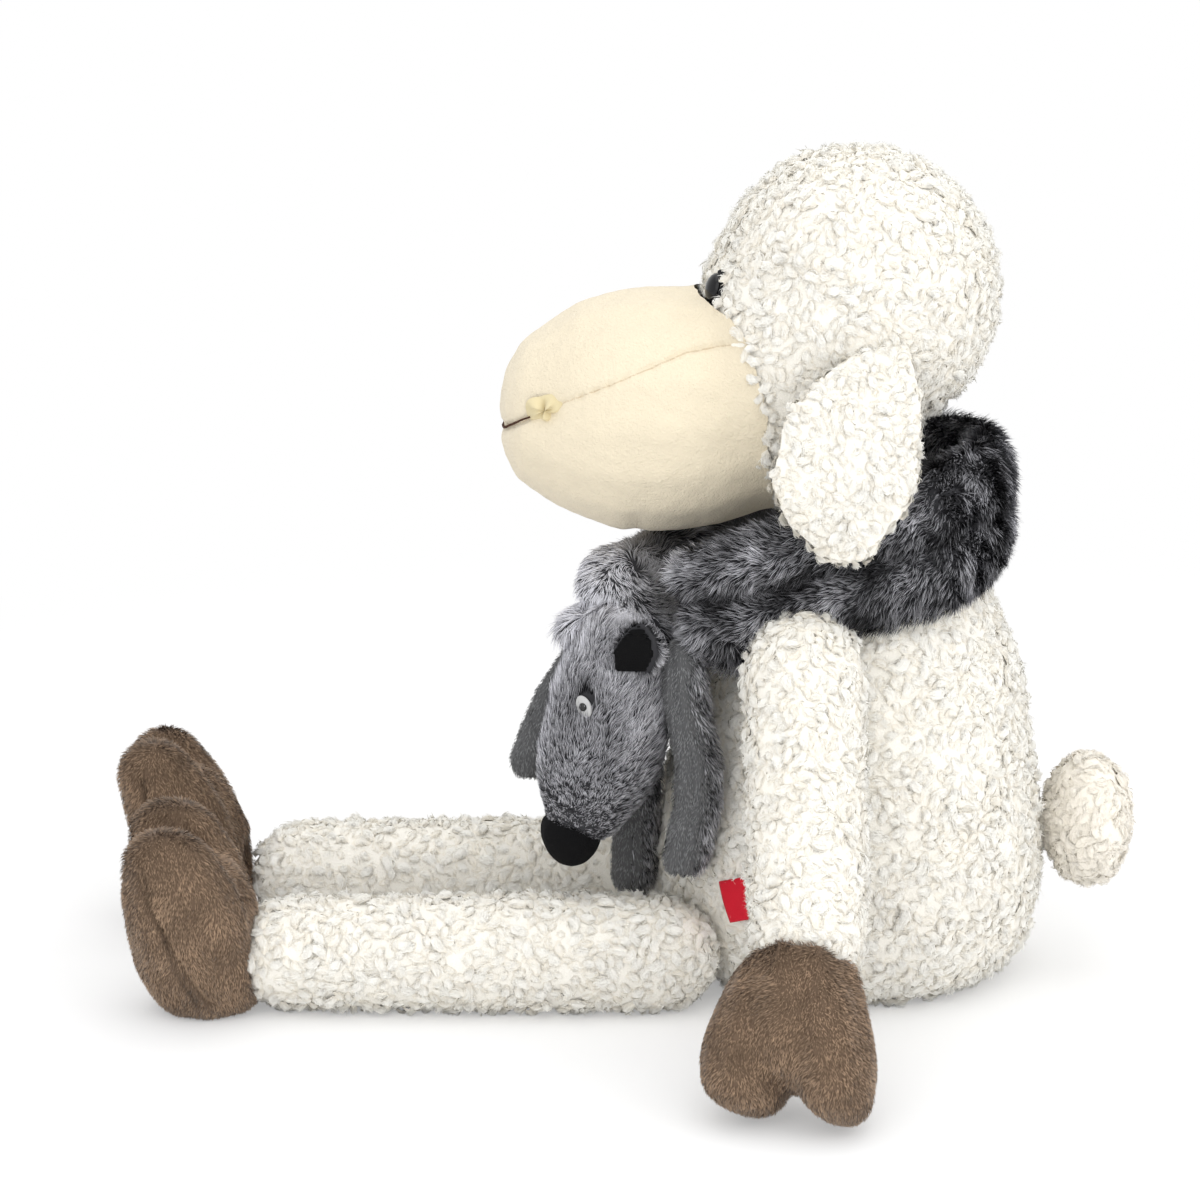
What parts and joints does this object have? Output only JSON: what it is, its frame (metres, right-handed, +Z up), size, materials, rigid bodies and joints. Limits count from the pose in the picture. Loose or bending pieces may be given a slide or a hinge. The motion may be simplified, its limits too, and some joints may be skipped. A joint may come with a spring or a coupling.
{
  "type": "plush sheep with scarf",
  "caption": "Seated long-legged plush sheep with curly wool, smooth muzzle, cloven hoofs and a wolf-skin scarf whose head and limbs hang in front.",
  "frame": {"origin": "middle of the flat seat that the torso sits on, at floor level", "axes": "+Z up, -X the way the sheep faces, -Y the sheep's left side, metres"},
  "size_m": [0.5098, 0.4984, 0.4177],
  "materials": {
    "wool": "matte",
    "velour": "matte",
    "hoof": "matte",
    "smooth_lining": "matte",
    "stuffing": "matte",
    "granules": "matte",
    "eye": "gloss",
    "felt": "matte",
    "washer": "satin",
    "stitch": "matte",
    "label": "matte",
    "wolf_fur": "matte",
    "wolf_smooth": "matte",
    "wolf_black": "matte",
    "wolf_eye": "matte"
  },
  "bodies": {
    "torso": {"torso_cover": "wool", "torso_stuffing": "stuffing", "granule_bag": "granules", "side_label": "label", "scarf_loop": "wolf_fur", "scarf_lining": "wolf_smooth"},
    "neck": {"neck": "wool"},
    "head": {"head_cover": "wool", "head_stuffing": "stuffing", "muzzle_upper": "velour", "muzzle_lower": "velour", "mouth_stitch": "stitch", "mouth_tuck_left": "smooth_lining", "eye_left": "eye", "eye_backing_left": "felt", "eye_washer_left": "washer", "mouth_tuck_right": "smooth_lining", "eye_right": "eye", "eye_backing_right": "felt", "eye_washer_right": "washer"},
    "tail": {"tail": "wool"},
    "ear_left": {"ear_left": "wool", "ear_lining_left": "smooth_lining"},
    "arm_left": {"arm_left": "wool"},
    "hand_left": {"hand_left": "hoof"},
    "leg_left": {"leg_left": "wool"},
    "foot_left": {"foot_left": "hoof"},
    "ear_right": {"ear_right": "wool", "ear_lining_right": "smooth_lining"},
    "arm_right": {"arm_right": "wool"},
    "hand_right": {"hand_right": "hoof"},
    "leg_right": {"leg_right": "wool"},
    "foot_right": {"foot_right": "hoof"},
    "wolf_head": {"wolf_head": "wolf_fur", "wolf_nose": "wolf_black", "wolf_ear_left": "wolf_fur", "wolf_ear_lining_left": "wolf_black", "wolf_eye_left": "wolf_eye", "wolf_pupil_left": "eye", "wolf_ear_right": "wolf_fur", "wolf_ear_lining_right": "wolf_black", "wolf_eye_right": "wolf_eye", "wolf_pupil_right": "eye"},
    "wolf_hindleg_left": {"wolf_hindleg_left": "wolf_smooth"},
    "wolf_hindleg_right": {"wolf_hindleg_right": "wolf_smooth"},
    "wolf_foreleg_left": {"wolf_foreleg_left": "wolf_smooth"},
    "wolf_foreleg_right": {"wolf_foreleg_right": "wolf_smooth"}
  },
  "joints": [
    {"name": "head_turn", "type": "hinge", "parent": "torso", "child": "neck", "pos_m": [-0.0049, 0, 0.2789], "axis": [0, 0, 1], "range_deg": [-10, 10]},
    {"name": "head_nod", "type": "hinge", "parent": "neck", "child": "head", "pos_m": [-0.0049, 0, 0.2789], "axis": [0, 1, 0], "range_deg": [0, 12]},
    {"name": "tail_wag", "type": "hinge", "parent": "torso", "child": "tail", "pos_m": [0.0985, 0, 0.07646], "axis": [0, 0, 1], "range_deg": [-12, 12]},
    {"name": "ear_flap_left", "type": "hinge", "parent": "head", "child": "ear_left", "pos_m": [0.01099, -0.07475, 0.33425], "axis": [-1, 0, 0], "range_deg": [0, 60]},
    {"name": "arm_swing_left", "type": "hinge", "parent": "torso", "child": "arm_left", "pos_m": [-0.03223, -0.08949, 0.17746], "axis": [0, 1, 0], "range_deg": [-30, 75]},
    {"name": "wrist_flex_left", "type": "hinge", "parent": "arm_left", "child": "hand_left", "pos_m": [-0.03402, -0.17862, 0.07494], "axis": [-1, 0, 0], "range_deg": [0, 25]},
    {"name": "leg_spread_left", "type": "hinge", "parent": "torso", "child": "leg_left", "pos_m": [-0.09972, -0.063, 0.028], "axis": [0, 0, 1], "range_deg": [-5, 25]},
    {"name": "ankle_flex_left", "type": "hinge", "parent": "leg_left", "child": "foot_left", "pos_m": [-0.28572, -0.063, 0.028], "axis": [0, 1, 0], "range_deg": [0, 15]},
    {"name": "ear_flap_right", "type": "hinge", "parent": "head", "child": "ear_right", "pos_m": [0.01099, 0.07475, 0.33425], "axis": [1, 0, 0], "range_deg": [0, 60]},
    {"name": "arm_swing_right", "type": "hinge", "parent": "torso", "child": "arm_right", "pos_m": [-0.03223, 0.08949, 0.17746], "axis": [0, 1, 0], "range_deg": [-30, 75]},
    {"name": "wrist_flex_right", "type": "hinge", "parent": "arm_right", "child": "hand_right", "pos_m": [-0.03402, 0.17862, 0.07494], "axis": [1, 0, 0], "range_deg": [0, 25]},
    {"name": "leg_spread_right", "type": "hinge", "parent": "torso", "child": "leg_right", "pos_m": [-0.09972, 0.063, 0.028], "axis": [0, 0, -1], "range_deg": [-5, 25]},
    {"name": "ankle_flex_right", "type": "hinge", "parent": "leg_right", "child": "foot_right", "pos_m": [-0.28572, 0.063, 0.028], "axis": [0, 1, 0], "range_deg": [0, 15]},
    {"name": "wolf_head_swing", "type": "hinge", "parent": "torso", "child": "wolf_head", "pos_m": [-0.12285, -0.05358, 0.18002], "axis": [0, 1, 0], "range_deg": [0, 20]},
    {"name": "wolf_swing_hindleg_left", "type": "hinge", "parent": "torso", "child": "wolf_hindleg_left", "pos_m": [-0.08232, -0.0644, 0.1722], "axis": [-1, 0, 0], "range_deg": [0, 20]},
    {"name": "wolf_swing_hindleg_right", "type": "hinge", "parent": "torso", "child": "wolf_hindleg_right", "pos_m": [-0.10584, -0.01472, 0.1722], "axis": [0, 1, 0], "range_deg": [0, 6]},
    {"name": "wolf_swing_foreleg_left", "type": "hinge", "parent": "torso", "child": "wolf_foreleg_left", "pos_m": [-0.12936, -0.01104, 0.17712], "axis": [0, 1, 0], "range_deg": [0, 25]},
    {"name": "wolf_swing_foreleg_right", "type": "hinge", "parent": "torso", "child": "wolf_foreleg_right", "pos_m": [-0.10682, 0.01288, 0.17466], "axis": [0, 1, 0], "range_deg": [0, 25]}
  ]
}
